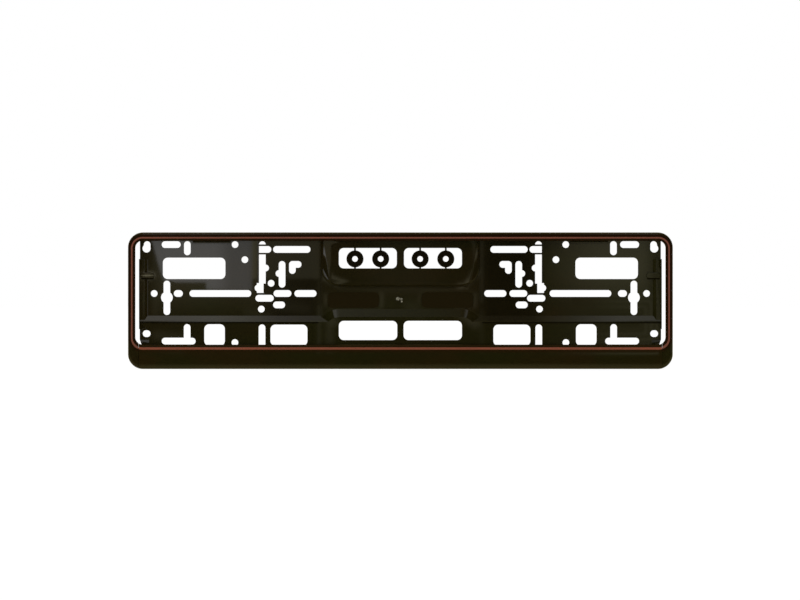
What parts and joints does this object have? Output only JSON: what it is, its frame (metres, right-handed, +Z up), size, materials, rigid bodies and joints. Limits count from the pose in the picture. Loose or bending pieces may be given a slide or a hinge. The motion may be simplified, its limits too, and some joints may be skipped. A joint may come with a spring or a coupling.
{
  "type": "number plate holder",
  "caption": "Perforated vehicle number plate holder: a shallow frame with a clip-on bottom strip, slotted back plate and coloured edge line.",
  "frame": {"origin": "on the back plane, midway between the two long mounting slots", "axes": "+X along the length, +Z up as mounted, +Y from the front face to the back plane"},
  "size_m": [0.532, 0.0122, 0.1334],
  "materials": {
    "black_plastic": "gloss",
    "strip_plastic": "gloss",
    "line_colour": "satin"
  },
  "bodies": {
    "root": {"holder": "black_plastic", "clip_strip": "strip_plastic", "frame_line": "line_colour", "strip_line": "line_colour"}
  },
  "joints": []
}
